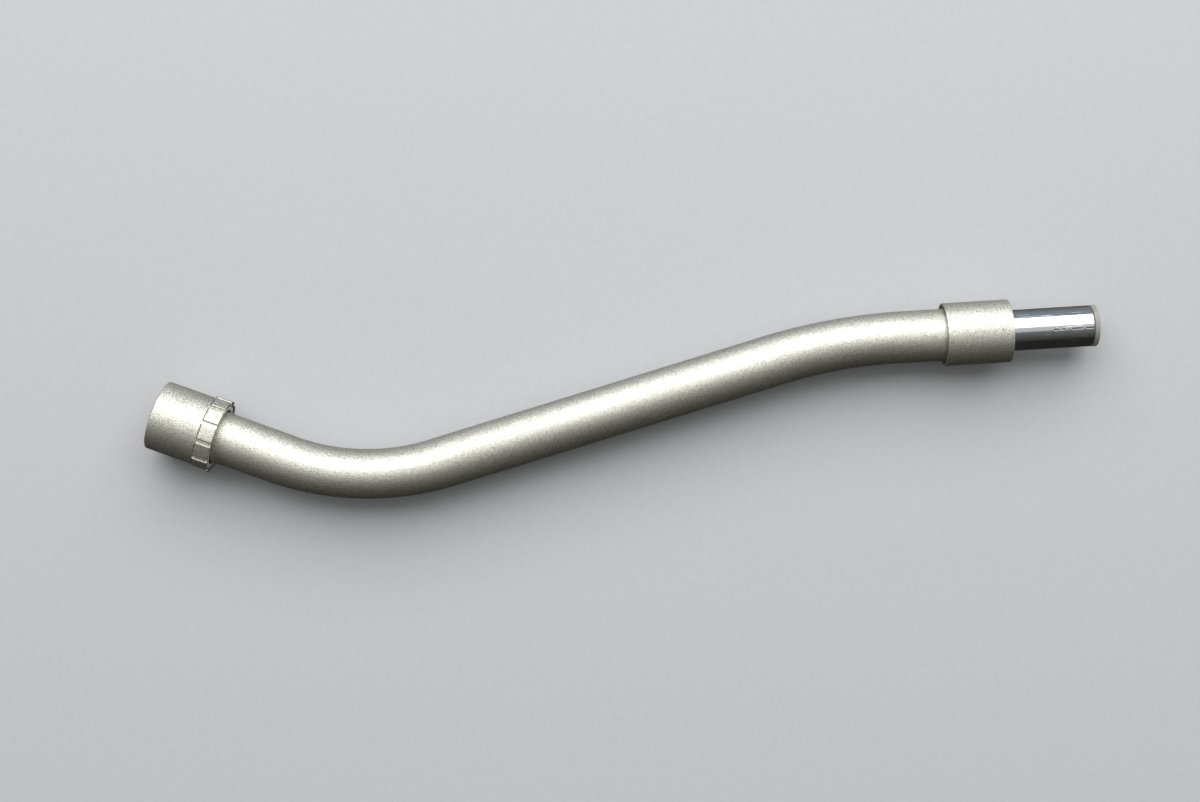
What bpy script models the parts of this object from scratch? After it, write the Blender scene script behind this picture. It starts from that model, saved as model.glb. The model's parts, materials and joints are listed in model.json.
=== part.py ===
"""Detachable S-shaped tonearm tube for a turntable, with a bayonet headshell socket and a plug.

Metres, +Z up. +X runs along the headshell socket's axis, from its mouth into the tube, and the
tube's S lies in the horizontal plane, with the plug's axis turned from +X towards +Y. The origin
is under the middle of the bounding box, on the plane that the grip ring touches.

Two axes carry every turned piece. Each is an empty whose local +Z is the axis, whose local +X
is straight up, and from which distances are measured:
    plug_axis    origin on the collar's shoulder face, local +Z out of the plug
    socket_axis  origin in the mouth of the headshell socket, local +Z into the tube
"""

import math

import bmesh
import bpy
from mathutils import Matrix, Vector

MM = 0.001

# ---- tube and its bends ---------------------------------------------------------------------
TUBE_R = 4.75 * MM
TUBE_WALL = 0.55 * MM
OFFSET_ANGLE = math.radians(23.2)       # plug axis against headshell socket axis
MIDDLE_ANGLE = math.radians(36.85)      # middle run against headshell socket axis
FRONT_BEND_R = 46.3 * MM
REAR_BEND_R = 96.0 * MM
SHOULDER_TO_REAR_APEX = 31.8 * MM       # apex: where the straight runs' centrelines would meet
REAR_APEX_TO_FRONT_APEX = 90.9 * MM
FRONT_APEX_TO_MOUTH = 39.6 * MM
FRONT_BEND_STEPS = 11
REAR_BEND_STEPS = 6

# ---- fits -----------------------------------------------------------------------------------
FIXED_GAP = 0.15 * MM                   # between pieces that are pressed or glued
RUNNING_GAP = 0.2 * MM                  # between the sleeve and what it turns on
PIN_GAP = 0.1 * MM                      # around contacts and other small pins
CUT_OVER = 1.0 * MM                     # how far a cutter runs past the wall it cuts

# ---- headshell socket, distances from its mouth ---------------------------------------------
SLEEVE_R = 6.45 * MM
SLEEVE_LENGTH = 12.2 * MM
SLEEVE_EDGE = 0.15 * MM                 # chamfer on the sleeve's edges
GRIP_R = 6.875 * MM
GRIP_WIDTH = 2.85 * MM
GRIP_LANDS = 12
GRIP_GROOVE_WIDTH = 0.72 * MM
GRIP_TURN = math.radians(-2.2)          # of the whole ring of grooves, against the cam's entry
GRIP_GROOVE_FLOOR = 6.5 * MM
SLEEVE_LIP = (8.6 * MM, 9.2 * MM)
RECESS_R = 6.1 * MM
DUST_WASHER_R = (5.3 * MM, 5.95 * MM)
DUST_WASHER_FACES = (11.5 * MM, 12.05 * MM)

SOCKET_BORE_R = 4.05 * MM               # takes the standard 8 mm headshell shaft
SOCKET_CHAMFER = 0.25 * MM
SOCKET_BARREL_R = 5.2 * MM
SOCKET_BARREL_LENGTH = 8.3 * MM
SOCKET_NECK_R = 4.6 * MM
SOCKET_NECK_END = 11.35 * MM
SOCKET_BORE_DEPTH = 10.6 * MM
SOCKET_LENGTH = 15.5 * MM
SOCKET_REAR_BORE_R = 3.4 * MM
TUBE_START = 11.5 * MM
CLIP_GROOVE = (9.85 * MM, 10.35 * MM)
CLIP_GROOVE_R = 4.38 * MM
CLIP_R = 5.75 * MM
CLIP_SIDE_GAP = 0.05 * MM               # between the retaining ring and its groove's walls
CLIP_SEAT_GAP = 0.07 * MM               # between the retaining ring and its groove's floor
CLIP_OPENING = 2.2 * MM
WASHER_R = 5.6 * MM
WASHER_THICKNESS = 0.14 * MM
WASHER_WAVE = 0.1 * MM
WASHER_WAVES = 3

KEY_SLOT_WIDTH = 2.2 * MM
KEY_SLOT_END = 5.4 * MM
CAM_ENTRY_R = 6.0 * MM
CAM_TRACK_R = 5.95 * MM
CAM_WIDTH = 2.0 * MM
CAM_START = 3.2 * MM
CAM_PULL = 1.0 * MM
CAM_TURN = math.radians(78)
CAM_STEPS = 9

# ---- spring contacts in the socket ----------------------------------------------------------
CONTACT_COUNT = 4
CONTACT_PITCH_R = 1.9 * MM
CONTACT_FACE = 9.85 * MM                # insulator face, from the mouth
INSULATOR_END = 14.5 * MM
BARREL_R = 0.8 * MM
BARREL_BORE_R = 0.68 * MM
BARREL_MOUTH_R = 0.58 * MM
BARREL_LIP = 0.2 * MM                   # thickness of the lip at the barrel's mouth
BARREL_FLOOR = 0.3 * MM                 # thickness of its closed end
BARREL_END = 13.9 * MM
TAIL_R = 0.35 * MM
TAIL_END = 16.0 * MM
PIN_R = 0.48 * MM
PIN_PROUD = 1.0 * MM
PIN_DOME_STEPS = 3
PIN_FLANGE_R = 0.58 * MM
PIN_FLANGE = (0.3 * MM, 0.6 * MM)       # its two faces, behind the insulator's face
SPRING_R = 0.42 * MM
SPRING_WIRE_R = 0.09 * MM
SPRING_TURNS = 4
SPRING_STEPS = 9

# ---- collar and plug, distances from the shoulder -------------------------------------------
COLLAR_R = 5.75 * MM
COLLAR_LENGTH = 12.0 * MM
COLLAR_SHOULDER = 3.7 * MM
COLLAR_EDGE = 0.12 * MM
COLLAR_ROUNDING = 0.2 * MM              # on the collar's edge towards the tube
COLLAR_ROUNDING_STEPS = 3
COLLAR_RELIEF_R = 5.35 * MM             # counterbore round the tube, where it enters the collar
COLLAR_RELIEF_DEPTH = 0.8 * MM
COLLAR_SCREW_R = 1.25 * MM
COLLAR_SCREW_CHAMFER = 0.1 * MM
COLLAR_SCREW_SINK = 0.15 * MM
COLLAR_SCREW_AT = -8.0 * MM
HEXAGON_R = 0.62 * MM
HEXAGON_DEPTH = 0.4 * MM
TUBE_STOP = 4.0 * MM                    # tube end, inside the collar
PLUG_R = 3.75 * MM
PLUG_BORE_R = 3.2 * MM
PLUG_LENGTH = 15.0 * MM
PLUG_EDGE = 0.2 * MM
PLUG_ROOT = 10.0 * MM
PLUG_ROOT_R = 4.05 * MM
TIP_R = 3.8 * MM
TIP_LENGTH = 1.0 * MM
TIP_EDGE = 0.12 * MM
TIP_STEM_END = 7.5 * MM
KEY_PIN_R = 0.7 * MM
KEY_PIN_AT = 5.5 * MM
KEY_PIN_TOP = 4.75 * MM
KEY_PIN_LOW = 3.25 * MM
KEY_PIN_CHAMFER = 0.15 * MM
REAR_CONTACT_R = 0.7 * MM
REAR_CONTACT_SINK = 0.05 * MM
REAR_CONTACT_ROOT = 6.2 * MM
REAR_TAIL_END = 4.2 * MM
GROUND_TAG_SIZE = (0.3 * MM, 1.6 * MM, 3.0 * MM)
GROUND_TAG_AT = Vector((-3.6 * MM, 0, -15.0 * MM))

# ---- leads ----------------------------------------------------------------------------------
WIRE_R = 0.26 * MM
WIRE_BEVEL_STEPS = 1
WIRE_BUNDLE = 0.6                       # how far the leads draw together inside the tube
WIRE_ENTRY = 1.5 * MM                   # straight lead behind a spring contact's tail
WIRE_LEAVE = 6.0 * MM                   # where the leads spread again, ahead of the plug's root
GROUND_WIRE_STEPS = 8
GROUND_WIRE_RISE = 2.2

ROUND = 48                              # steps round a large turned piece
SCREW_ROUND = 24                        # steps round a screw
SMALL_ROUND = 14                        # steps round a small piece
TUBE_BEVEL_STEPS = 15
MERGE_DISTANCE = 0.001 * MM


# ---- places ---------------------------------------------------------------------------------

def heading(angle):
    return Vector((math.cos(angle), math.sin(angle), 0))


def left_of(direction):
    return Vector((-direction.y, direction.x, 0))


SOCKET_DIRECTION = heading(0)
MIDDLE_DIRECTION = heading(MIDDLE_ANGLE)
PLUG_DIRECTION = heading(OFFSET_ANGLE)


def layout():
    """Apexes of the centreline and the collar's shoulder, measured from the socket's mouth."""
    front_apex = FRONT_APEX_TO_MOUTH * SOCKET_DIRECTION
    rear_apex = front_apex + REAR_APEX_TO_FRONT_APEX * MIDDLE_DIRECTION
    shoulder = rear_apex + SHOULDER_TO_REAR_APEX * PLUG_DIRECTION
    return front_apex, rear_apex, shoulder


def mouth_place():
    """Puts the bounding box's bottom centre at the origin: the tip's rim is the far corner."""
    shoulder = layout()[2]
    end = PLUG_LENGTH + TIP_LENGTH
    far_rim = shoulder + PLUG_DIRECTION * end - left_of(PLUG_DIRECTION) * (TIP_R - TIP_EDGE)
    left_rim = shoulder + PLUG_DIRECTION * (end - TIP_EDGE) + left_of(PLUG_DIRECTION) * TIP_R
    return Vector((-far_rim.x / 2, -(left_rim.y - GRIP_R) / 2, GRIP_R))


MOUTH = mouth_place()
FRONT_APEX, REAR_APEX, SHOULDER = (MOUTH + point for point in layout())


def bend(apex, before, after, radius, steps):
    """Stations (point, direction) along the arc that rounds an apex."""
    turn = before.angle(after)
    side = 1 if before.cross(after).z > 0 else -1
    start = apex - before * radius * math.tan(turn / 2)
    centre = start + left_of(before) * radius * side
    stations = []
    for step in range(steps + 1):
        direction = Matrix.Rotation(side * turn * step / steps, 3, "Z") @ before
        stations.append((centre - left_of(direction) * radius * side, direction))
    return stations


def centreline(start, end):
    """Stations from a distance inside the socket's mouth to a distance along the plug's axis."""
    first = (MOUTH + SOCKET_DIRECTION * start, SOCKET_DIRECTION)
    last = (SHOULDER + PLUG_DIRECTION * end, PLUG_DIRECTION)
    front = bend(FRONT_APEX, SOCKET_DIRECTION, MIDDLE_DIRECTION, FRONT_BEND_R, FRONT_BEND_STEPS)
    rear = bend(REAR_APEX, MIDDLE_DIRECTION, PLUG_DIRECTION, REAR_BEND_R, REAR_BEND_STEPS)
    return [first] + front + rear + [last]


# ---- scene helpers --------------------------------------------------------------------------

def clear_scene():
    for obj in list(bpy.data.objects):
        bpy.data.objects.remove(obj, do_unlink=True)


def collection(name):
    made = bpy.data.collections.new(name)
    bpy.context.scene.collection.children.link(made)
    return made


def axis_empty(name, place, direction):
    """An empty with local +Z along direction and local +X straight up."""
    up = Vector((0, 0, 1))
    side = direction.cross(up)
    rotation = Matrix((up, side, direction)).transposed()
    empty = bpy.data.objects.new(name, None)
    empty.matrix_world = Matrix.Translation(place) @ rotation.to_4x4()
    PARTS.objects.link(empty)
    return empty


def material(name, colour, roughness, metallic):
    made = bpy.data.materials.new(name)
    made.use_nodes = True
    shader = made.node_tree.nodes["Principled BSDF"]
    shader.inputs["Base Color"].default_value = (*colour, 1)
    shader.inputs["Roughness"].default_value = roughness
    shader.inputs["Metallic"].default_value = metallic
    made.diffuse_color = (*colour, 1)
    return made


def place(obj, parent, at=(0, 0, 0), rotation=(0, 0, 0)):
    obj.parent = parent
    obj.location = at
    obj.rotation_euler = rotation
    return obj


def new_part(name, data, finish):
    data.materials.append(finish)
    obj = bpy.data.objects.new(name, data)
    PARTS.objects.link(obj)
    return obj


def new_cutter(name, mesh):
    obj = bpy.data.objects.new(name, mesh)
    obj.hide_render = True
    obj.display_type = "WIRE"
    CUTTERS.objects.link(obj)
    return obj


def cut(obj, cutter):
    modifier = obj.modifiers.new(cutter.name, "BOOLEAN")
    modifier.operation = "DIFFERENCE"
    modifier.solver = "EXACT"
    modifier.object = cutter


# ---- shapes ---------------------------------------------------------------------------------

def outline_mesh(name, outline):
    """A (radius, z) outline as edges that run down its outer side, closed unless it meets the axis."""
    solid = outline[0][0] == 0 and outline[-1][0] == 0
    pairs = zip(outline, outline[1:] + outline[:1])
    area = sum(a[0] * b[1] - b[0] * a[1] for a, b in pairs)
    if area > 0:
        outline = outline[::-1]
    count = len(outline)
    edges = [(i, (i + 1) % count) for i in range(count - 1 if solid else count)]
    mesh = bpy.data.meshes.new(name)
    mesh.from_pydata([(r, 0, z) for r, z in outline], edges, [])
    return mesh


def spin(obj, steps):
    modifier = obj.modifiers.new("turned", "SCREW")
    modifier.axis = "Z"
    modifier.steps = steps
    modifier.render_steps = steps
    modifier.use_merge_vertices = True
    modifier.merge_threshold = MERGE_DISTANCE
    modifier.use_smooth_shade = False


def turned(name, outline, finish, parent, steps=ROUND, at=(0, 0, 0)):
    obj = new_part(name, outline_mesh(name, outline), finish)
    spin(obj, steps)
    return place(obj, parent, at)


def rod_outline(radius, low, high, chamfer=0.0):
    """A solid rod's outline, from the axis at its top to the axis at its bottom."""
    if not chamfer:
        return [(0, high), (radius, high), (radius, low), (0, low)]
    inner = radius - chamfer
    return [(0, high), (inner, high), (radius, high - chamfer),
            (radius, low + chamfer), (inner, low), (0, low)]


def ring_outline(inner, outer, low, high):
    return [(outer, high), (outer, low), (inner, low), (inner, high)]


def rod_cutter(name, radius, low, high, parent, at=(0, 0, 0), rotation=(0, 0, 0), steps=SMALL_ROUND):
    cutter = new_cutter(name, outline_mesh(name, rod_outline(radius, low, high)))
    spin(cutter, steps)
    return place(cutter, parent, at, rotation)


def add_box(bm, low, high, turn=0.0):
    """A box between two corners, turned about the local Z axis."""
    middle = [(a + b) / 2 for a, b in zip(low, high)]
    size = [b - a for a, b in zip(low, high)]
    matrix = (Matrix.Rotation(turn, 4, "Z") @ Matrix.Translation(middle)
              @ Matrix.Diagonal((*size, 1)))
    bmesh.ops.create_cube(bm, size=1, matrix=matrix)


def boxes_mesh(name, boxes):
    bm = bmesh.new()
    for low, high, turn in boxes:
        add_box(bm, low, high, turn)
    mesh = bpy.data.meshes.new(name)
    bm.to_mesh(mesh)
    bm.free()
    return mesh


def wire_curve(name, points, radius, resolution=WIRE_BEVEL_STEPS, filled=True):
    curve = bpy.data.curves.new(name, "CURVE")
    curve.dimensions = "3D"
    curve.twist_mode = "Z_UP"
    curve.bevel_depth = radius
    curve.bevel_resolution = resolution
    curve.use_fill_caps = filled
    spline = curve.splines.new("POLY")
    spline.points.add(len(points) - 1)
    for spot, point in zip(spline.points, points):
        spot.co = (*point, 1)
    return curve


def around(index, count=CONTACT_COUNT, radius=CONTACT_PITCH_R):
    """Local (x, y) of one contact on its pitch circle; the first sits 45 degrees from the top."""
    angle = math.pi / 4 + 2 * math.pi * index / count
    return radius * math.cos(angle), radius * math.sin(angle)


# ---- tube -----------------------------------------------------------------------------------

def make_arm_tube(finish):
    points = [point for point, _ in centreline(TUBE_START, -TUBE_STOP)]
    curve = wire_curve("arm_tube", points, TUBE_R, TUBE_BEVEL_STEPS, filled=False)
    tube = new_part("arm_tube", curve, finish)
    wall = tube.modifiers.new("wall", "SOLIDIFY")
    wall.thickness = TUBE_WALL
    wall.offset = -1
    return tube


# ---- headshell socket -----------------------------------------------------------------------

def make_socket_body(finish, axis):
    spigot_r = TUBE_R - TUBE_WALL - FIXED_GAP
    outline = [
        (SOCKET_BORE_R + SOCKET_CHAMFER, 0), (SOCKET_BARREL_R, 0), (SOCKET_BARREL_R, SOCKET_BARREL_LENGTH),
        (SOCKET_NECK_R, SOCKET_BARREL_LENGTH), (SOCKET_NECK_R, CLIP_GROOVE[0]),
        (CLIP_GROOVE_R, CLIP_GROOVE[0]), (CLIP_GROOVE_R, CLIP_GROOVE[1]),
        (SOCKET_NECK_R, CLIP_GROOVE[1]), (SOCKET_NECK_R, SOCKET_NECK_END),
        (spigot_r, SOCKET_NECK_END), (spigot_r, SOCKET_LENGTH),
        (SOCKET_REAR_BORE_R, SOCKET_LENGTH), (SOCKET_REAR_BORE_R, SOCKET_BORE_DEPTH),
        (SOCKET_BORE_R, SOCKET_BORE_DEPTH), (SOCKET_BORE_R, SOCKET_CHAMFER),
    ]
    body = turned("socket_body", outline, finish, axis)
    half = KEY_SLOT_WIDTH / 2
    slot = boxes_mesh("key_slot", [((SOCKET_BORE_R - CUT_OVER, -half, -CUT_OVER),
                                    (SOCKET_BARREL_R + CUT_OVER, half, KEY_SLOT_END), 0)])
    cut(body, place(new_cutter("key_slot", slot), axis))
    return body


def helix_band(name, inner, outer, width, start, pull, turn, steps):
    """A rectangular section swept through part of a turn while it moves along the axis."""
    bm = bmesh.new()
    rows = []
    for step in range(steps + 1):
        angle = -turn * step / steps
        z = start + pull * step / steps
        corners = [(inner, z - width / 2), (outer, z - width / 2),
                   (outer, z + width / 2), (inner, z + width / 2)]
        rows.append([bm.verts.new((r * math.cos(angle), r * math.sin(angle), h)) for r, h in corners])
    for row, following in zip(rows, rows[1:]):
        for k in range(4):
            bm.faces.new((row[k], row[(k + 1) % 4], following[(k + 1) % 4], following[k]))
    bm.faces.new(rows[0])
    bm.faces.new(rows[-1])
    bmesh.ops.recalc_face_normals(bm, faces=bm.faces)
    mesh = bpy.data.meshes.new(name)
    bm.to_mesh(mesh)
    bm.free()
    return mesh


def make_locking_sleeve(finish, axis):
    """Smooth barrel with a notched grip ring, turned inside for the socket body and the spring washer."""
    edge = SLEEVE_EDGE
    bore = SOCKET_BARREL_R + RUNNING_GAP
    lip_bore = SOCKET_NECK_R + RUNNING_GAP
    grip_start = SLEEVE_LENGTH - GRIP_WIDTH
    outline = [
        (bore + edge, 0), (SLEEVE_R - edge, 0), (SLEEVE_R, edge), (SLEEVE_R, grip_start),
        (GRIP_R - edge, grip_start), (GRIP_R, grip_start + edge),
        (GRIP_R, SLEEVE_LENGTH - edge), (GRIP_R - edge, SLEEVE_LENGTH),
        (RECESS_R + edge, SLEEVE_LENGTH), (RECESS_R, SLEEVE_LENGTH - edge),
        (RECESS_R, SLEEVE_LIP[1]), (lip_bore, SLEEVE_LIP[1]), (lip_bore, SLEEVE_LIP[0]),
        (bore, SLEEVE_LIP[0]), (bore, edge),
    ]
    sleeve = turned("locking_sleeve", outline, finish, axis)

    half = GRIP_GROOVE_WIDTH / 2
    pitch = 2 * math.pi / GRIP_LANDS
    grooves = [((GRIP_GROOVE_FLOOR, -half, grip_start - CUT_OVER),
                (GRIP_R + CUT_OVER, half, SLEEVE_LENGTH + CUT_OVER), (k + 0.5) * pitch + GRIP_TURN)
               for k in range(GRIP_LANDS)]
    cut(sleeve, place(new_cutter("grip_grooves", boxes_mesh("grip_grooves", grooves)), axis))

    inside = bore - CUT_OVER
    half = KEY_SLOT_WIDTH / 2
    entry = boxes_mesh("cam_entry", [((inside, -half, -CUT_OVER), (CAM_ENTRY_R, half, CAM_START), 0)])
    cut(sleeve, place(new_cutter("cam_entry", entry), axis))
    track = helix_band("cam_track", inside, CAM_TRACK_R, CAM_WIDTH,
                       CAM_START, CAM_PULL, CAM_TURN, CAM_STEPS)
    cut(sleeve, place(new_cutter("cam_track", track), axis))
    return sleeve


def make_wave_washer(finish, axis):
    """A thin waved spring ring, between the sleeve's lip and the retaining ring."""
    inner = SOCKET_NECK_R + PIN_GAP
    middle = (SLEEVE_LIP[1] + CLIP_GROOVE[0]) / 2
    rings = [(inner, -1), (WASHER_R, -1), (WASHER_R, 1), (inner, 1)]
    bm = bmesh.new()
    loops = []
    for step in range(ROUND):
        angle = 2 * math.pi * step / ROUND
        wave = WASHER_WAVE * math.cos(WASHER_WAVES * angle)
        loops.append([bm.verts.new((r * math.cos(angle), r * math.sin(angle),
                                    middle + wave + side * WASHER_THICKNESS / 2)) for r, side in rings])
    for loop, following in zip(loops, loops[1:] + loops[:1]):
        for k in range(4):
            bm.faces.new((loop[k], loop[(k + 1) % 4], following[(k + 1) % 4], following[k]))
    bmesh.ops.recalc_face_normals(bm, faces=bm.faces)
    mesh = bpy.data.meshes.new("wave_washer")
    bm.to_mesh(mesh)
    bm.free()
    return place(new_part("wave_washer", mesh, finish), axis)


def make_retaining_ring(finish, axis):
    """An open snap ring in the socket body's groove, with its gap underneath."""
    low = CLIP_GROOVE[0] + CLIP_SIDE_GAP
    high = CLIP_GROOVE[1] - CLIP_SIDE_GAP
    inner = CLIP_GROOVE_R + CLIP_SEAT_GAP
    ring = turned("retaining_ring", ring_outline(inner, CLIP_R, low, high), finish, axis)
    half = CLIP_OPENING / 2
    gap = boxes_mesh("ring_gap", [((-CLIP_R - CUT_OVER, -half, low - CUT_OVER),
                                   (-CLIP_GROOVE_R + CUT_OVER, half, high + CUT_OVER), 0)])
    cut(ring, place(new_cutter("ring_gap", gap), axis))
    return ring


def make_dust_washer(finish, axis):
    """A plain washer pressed into the sleeve's rear end, clear of the tube."""
    return turned("dust_washer", ring_outline(*DUST_WASHER_R, *DUST_WASHER_FACES), finish, axis)


# ---- spring contacts ------------------------------------------------------------------------

def make_front_insulator(finish, axis):
    flange_r = SOCKET_BORE_R - FIXED_GAP
    stem_r = SOCKET_REAR_BORE_R - FIXED_GAP
    step = SOCKET_BORE_DEPTH - FIXED_GAP
    outline = [(0, INSULATOR_END), (stem_r, INSULATOR_END), (stem_r, step),
               (flange_r, step), (flange_r, CONTACT_FACE), (0, CONTACT_FACE)]
    insulator = turned("front_insulator", outline, finish, axis)
    for index in range(CONTACT_COUNT):
        x, y = around(index)
        hole = rod_cutter(f"front_contact_hole_{index + 1}", BARREL_R + PIN_GAP,
                          CONTACT_FACE - CUT_OVER, INSULATOR_END + CUT_OVER, axis, (x, y, 0))
        cut(insulator, hole)
    return insulator


def make_contact_barrel(index, finish, axis):
    """A tube with an inward lip at its mouth and a solder tail at its closed end."""
    lip_end = CONTACT_FACE + BARREL_LIP
    floor = BARREL_END - BARREL_FLOOR
    outline = [
        (0, TAIL_END), (TAIL_R, TAIL_END), (TAIL_R, BARREL_END), (BARREL_R, BARREL_END),
        (BARREL_R, CONTACT_FACE), (BARREL_MOUTH_R, CONTACT_FACE), (BARREL_MOUTH_R, lip_end),
        (BARREL_BORE_R, lip_end), (BARREL_BORE_R, floor), (0, floor),
    ]
    return turned(f"contact_barrel_{index + 1}", outline, finish, axis, SMALL_ROUND, (*around(index), 0))


def make_contact_pin(index, finish, axis):
    """A domed pin whose flange the barrel's lip holds in. Its travel is into the barrel."""
    tip = CONTACT_FACE - PIN_PROUD
    low, high = (CONTACT_FACE + face for face in PIN_FLANGE)
    outline = [(0, tip)]
    for step in range(1, PIN_DOME_STEPS + 1):
        angle = math.pi / 2 * step / PIN_DOME_STEPS
        outline.append((PIN_R * math.sin(angle), tip + PIN_R * (1 - math.cos(angle))))
    outline += [(PIN_R, low), (PIN_FLANGE_R, low), (PIN_FLANGE_R, high), (0, high)]
    return turned(f"contact_pin_{index + 1}", outline, finish, axis, SMALL_ROUND, (*around(index), 0))


def make_contact_spring(index, finish, axis):
    low = CONTACT_FACE + PIN_FLANGE[1] + PIN_GAP + SPRING_WIRE_R
    high = BARREL_END - BARREL_FLOOR - PIN_GAP - SPRING_WIRE_R
    count = SPRING_TURNS * SPRING_STEPS
    points = []
    for step in range(count + 1):
        angle = 2 * math.pi * step / SPRING_STEPS
        points.append((SPRING_R * math.cos(angle), SPRING_R * math.sin(angle),
                       low + (high - low) * step / count))
    name = f"contact_spring_{index + 1}"
    spring = new_part(name, wire_curve(name, points, SPRING_WIRE_R), finish)
    spring.data.twist_mode = "MINIMUM"
    return place(spring, axis, (*around(index), 0))


# ---- collar and plug ------------------------------------------------------------------------

def downward(along):
    """Place and rotation, on the plug's axis, of a piece whose own +Z points straight down."""
    return (0, 0, along), (0, -math.pi / 2, 0)


def make_rear_collar(finish, axis):
    outline = [(COLLAR_R - COLLAR_EDGE, 0), (COLLAR_R, -COLLAR_EDGE)]
    for step in range(COLLAR_ROUNDING_STEPS + 1):
        angle = math.pi / 2 * step / COLLAR_ROUNDING_STEPS
        outline.append((COLLAR_R - COLLAR_ROUNDING * (1 - math.cos(angle)),
                        -COLLAR_LENGTH + COLLAR_ROUNDING * (1 - math.sin(angle))))
    outline += [
        (COLLAR_RELIEF_R, -COLLAR_LENGTH), (COLLAR_RELIEF_R, -COLLAR_LENGTH + COLLAR_RELIEF_DEPTH),
        (TUBE_R + FIXED_GAP, -COLLAR_LENGTH + COLLAR_RELIEF_DEPTH), (TUBE_R + FIXED_GAP, -COLLAR_SHOULDER),
        (PLUG_R + FIXED_GAP, -COLLAR_SHOULDER), (PLUG_R + FIXED_GAP, 0),
    ]
    collar = turned("rear_collar", outline, finish, axis)
    spot, rotation = downward(COLLAR_SCREW_AT)
    cut(collar, rod_cutter("collar_screw_hole", COLLAR_SCREW_R + PIN_GAP, TUBE_R - CUT_OVER,
                           COLLAR_R + CUT_OVER, axis, spot, rotation))
    return collar


def make_collar_screw(finish, axis):
    """Headless screw in the underside of the collar, with a hexagon socket."""
    low = TUBE_R + PIN_GAP
    high = COLLAR_R - COLLAR_SCREW_SINK
    spot, rotation = downward(COLLAR_SCREW_AT)
    outline = rod_outline(COLLAR_SCREW_R, low, high, COLLAR_SCREW_CHAMFER)
    screw = turned("collar_screw", outline, finish, axis, SCREW_ROUND)
    place(screw, axis, spot, rotation)
    cut(screw, rod_cutter("hexagon", HEXAGON_R, high - HEXAGON_DEPTH, high + CUT_OVER, axis,
                          spot, rotation, steps=6))
    return screw


def make_plug_sleeve(finish, axis):
    outline = [
        (PLUG_R - PLUG_EDGE, PLUG_LENGTH), (PLUG_R, PLUG_LENGTH - PLUG_EDGE), (PLUG_R, -TUBE_STOP),
        (PLUG_ROOT_R, -TUBE_STOP), (PLUG_ROOT_R, -PLUG_ROOT), (PLUG_BORE_R, -PLUG_ROOT),
        (PLUG_BORE_R, PLUG_LENGTH),
    ]
    sleeve = turned("plug_sleeve", outline, finish, axis)
    spot, rotation = downward(KEY_PIN_AT)
    cut(sleeve, rod_cutter("key_pin_hole", KEY_PIN_R + PIN_GAP, PLUG_BORE_R - CUT_OVER,
                           PLUG_R + CUT_OVER, axis, spot, rotation))
    return sleeve


def make_key_pin(finish, axis):
    outline = rod_outline(KEY_PIN_R, KEY_PIN_LOW, KEY_PIN_TOP, KEY_PIN_CHAMFER)
    pin = turned("key_pin", outline, finish, axis, SMALL_ROUND)
    return place(pin, axis, *downward(KEY_PIN_AT))


def rear_contact_spots():
    return [around(index) for index in range(CONTACT_COUNT)] + [(0, 0)]


def make_rear_insulator(finish, axis):
    stem_r = PLUG_BORE_R - FIXED_GAP
    step = PLUG_LENGTH + PIN_GAP
    end = PLUG_LENGTH + TIP_LENGTH
    outline = [(0, end), (TIP_R - TIP_EDGE, end), (TIP_R, end - TIP_EDGE), (TIP_R, step),
               (stem_r, step), (stem_r, TIP_STEM_END), (0, TIP_STEM_END)]
    insulator = turned("rear_insulator", outline, finish, axis)
    for number, (x, y) in enumerate(rear_contact_spots(), 1):
        cut(insulator, rod_cutter(f"rear_contact_hole_{number}", REAR_CONTACT_R + PIN_GAP,
                                  TIP_STEM_END - CUT_OVER, end + CUT_OVER, axis, (x, y, 0)))
    return insulator


def make_rear_contact(number, spot, finish, axis):
    """A flat-faced contact through the insulator, with a solder tail inside the plug."""
    face = PLUG_LENGTH + TIP_LENGTH - REAR_CONTACT_SINK
    outline = [(0, face), (REAR_CONTACT_R, face), (REAR_CONTACT_R, REAR_CONTACT_ROOT),
               (TAIL_R, REAR_CONTACT_ROOT), (TAIL_R, REAR_TAIL_END), (0, REAR_TAIL_END)]
    return turned(f"rear_contact_{number}", outline, finish, axis, SMALL_ROUND, (*spot, 0))


def make_ground_tag(finish, axis):
    """A small solder tag on the inner wall of the tube, just ahead of the plug's root."""
    half = [size / 2 for size in GROUND_TAG_SIZE]
    mesh = boxes_mesh("ground_tag", [([-h for h in half], half, 0)])
    return place(new_part("ground_tag", mesh, finish), axis, GROUND_TAG_AT)


# ---- leads ----------------------------------------------------------------------------------

def make_signal_wire(name, index, finish):
    """A lead from one spring contact's tail, along the tube, to the plug contact behind it."""
    up, side = around(index)
    stations = centreline(TAIL_END + PIN_GAP, REAR_TAIL_END - PIN_GAP)
    entry = MOUTH + SOCKET_DIRECTION * (TAIL_END + WIRE_ENTRY), SOCKET_DIRECTION
    leave = SHOULDER - PLUG_DIRECTION * (PLUG_ROOT + WIRE_LEAVE), PLUG_DIRECTION
    spread = [(stations[0], 1), (entry, 1)]
    spread += [(station, WIRE_BUNDLE) for station in stations[1:-1]]
    spread += [(leave, WIRE_BUNDLE), (stations[-1], 1)]
    points = []
    for (point, direction), share in spread:
        points.append(point - left_of(direction) * side * share + Vector((0, 0, up * share)))
    return new_part(name, wire_curve(name, points, WIRE_R), finish)


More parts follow.
